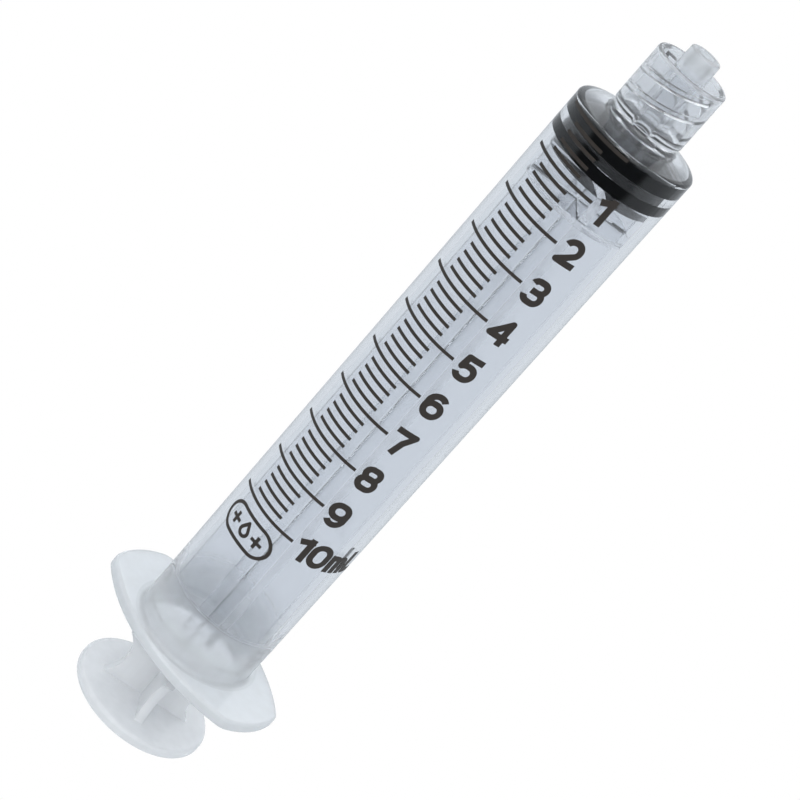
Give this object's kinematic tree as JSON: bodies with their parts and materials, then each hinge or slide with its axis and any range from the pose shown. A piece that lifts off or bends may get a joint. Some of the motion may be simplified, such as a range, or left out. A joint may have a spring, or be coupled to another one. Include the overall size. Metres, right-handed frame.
{
  "type": "lock-tip syringe",
  "caption": "Disposable syringe with a printed volume scale, sliding rubber stopper on a ribbed plunger rod, oval finger flange, and a threaded collar around a tapered nozzle.",
  "frame": {"origin": "middle of the thumb rest's rear face, on the syringe's axis", "axes": "+Z along the axis from thumb rest to nozzle; X along the finger flange's long side; the printed scale faces -Y"},
  "size_m": [0.0286, 0.0188, 0.1087],
  "materials": {
    "clear_polypropylene": "smooth clear moulded",
    "milky_polypropylene": "satin translucent moulded",
    "stopper_rubber": "smooth lubricated",
    "scale_ink": "printed"
  },
  "bodies": {
    "barrel": {"barrel": "clear_polypropylene", "ink_marks": "scale_ink", "ink_numerals": "scale_ink", "ink_emblem": "scale_ink"},
    "stopper": {"stopper": "stopper_rubber"},
    "plunger_rod": {"plunger_rod": "milky_polypropylene"}
  },
  "joints": [
    {"name": "plunger_slide", "type": "slide", "parent": "barrel", "child": "stopper", "axis": [0, 0, -1], "range_m": [0, 0.0765]},
    {"name": "rod_turn", "type": "hinge", "parent": "stopper", "child": "plunger_rod", "pos_m": [0, 0, 0.0942], "axis": [0, 0, 1], "continuous": true}
  ]
}
